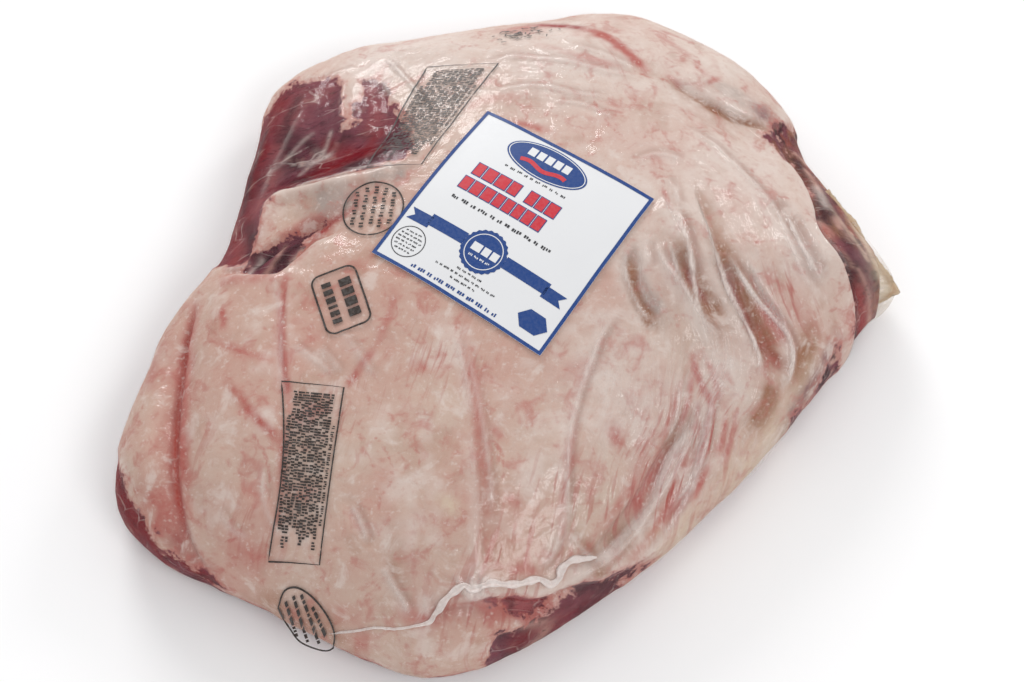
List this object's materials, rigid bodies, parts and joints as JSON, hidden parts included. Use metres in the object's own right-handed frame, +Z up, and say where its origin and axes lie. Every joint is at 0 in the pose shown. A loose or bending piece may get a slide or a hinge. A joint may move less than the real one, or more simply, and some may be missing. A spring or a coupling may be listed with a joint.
{
  "type": "boneless leg of lamb",
  "caption": "Raw boneless leg of lamb in clear shrink film, lying fat side up, with a square paper label and a crimped bag seal",
  "frame": {"origin": "on the resting plane, under the middle of the bounding box", "axes": "+Z up, out of the fat side; +X along the longest extent, towards the film's free corner; +Y away from the crimped seal"},
  "size_m": [0.3036, 0.2812, 0.0727],
  "materials": {
    "lamb_fat": "pale pink fat with red lean at the edges, moist, under film",
    "film": "thin clear shrink film, glossy and wrinkled",
    "film_seal": "white crimped bead of welded film",
    "film_ink": "dark ink on the film",
    "label_face": "white coated label stock",
    "label_blue": "blue print, satin",
    "label_red": "red print, satin"
  },
  "bodies": {
    "root": {"wrapped_leg": "lamb_fat", "label": "label_face"}
  },
  "joints": []
}
